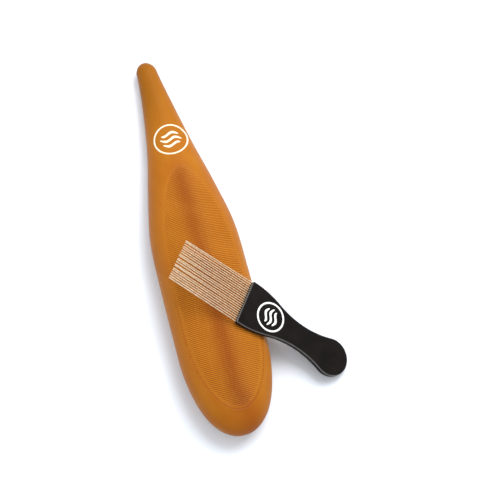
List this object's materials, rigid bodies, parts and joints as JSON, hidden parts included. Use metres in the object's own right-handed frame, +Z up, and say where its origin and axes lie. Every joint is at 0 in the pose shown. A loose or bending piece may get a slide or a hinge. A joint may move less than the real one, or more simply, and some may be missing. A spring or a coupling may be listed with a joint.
{
  "type": "guiro",
  "caption": "Gourd-shaped moulded guiro with a ridged face and two finger holes in its back, lying down with a wire-tined paddle scraper leaning on it.",
  "frame": {"origin": "on the table that the guiro's back rests on, in the mouth of the upper finger hole", "axes": "+Z up out of the ridged face, +Y along the guiro towards its neck tip, +X to the side where the scraper leans"},
  "size_m": [0.1842, 0.4495, 0.1054],
  "materials": {
    "shell": "satin moulded amber-orange fibreglass",
    "tape": "resin-soaked glass tape",
    "handle": "satin black moulded plastic",
    "wire": "drawn steel wire"
  },
  "bodies": {
    "guiro": {"front_shell": "shell", "back_shell": "shell", "seam_tape_left": "tape", "seam_tape_right": "tape"},
    "scraper": {"scraper_handle": "handle", "tine_01": "wire", "tine_02": "wire", "tine_03": "wire", "tine_04": "wire", "tine_05": "wire", "tine_06": "wire", "tine_07": "wire", "tine_08": "wire", "tine_09": "wire", "tine_10": "wire", "tine_11": "wire", "tine_12": "wire", "tine_13": "wire", "tine_14": "wire", "tine_15": "wire", "tine_16": "wire", "tine_17": "wire", "tine_18": "wire", "tine_19": "wire", "tine_20": "wire"}
  },
  "joints": [
    {"name": "scraper_lift", "type": "slide", "parent": "guiro", "child": "scraper", "axis": [0, 0, 1], "range_m": [0, 0.15]}
  ]
}
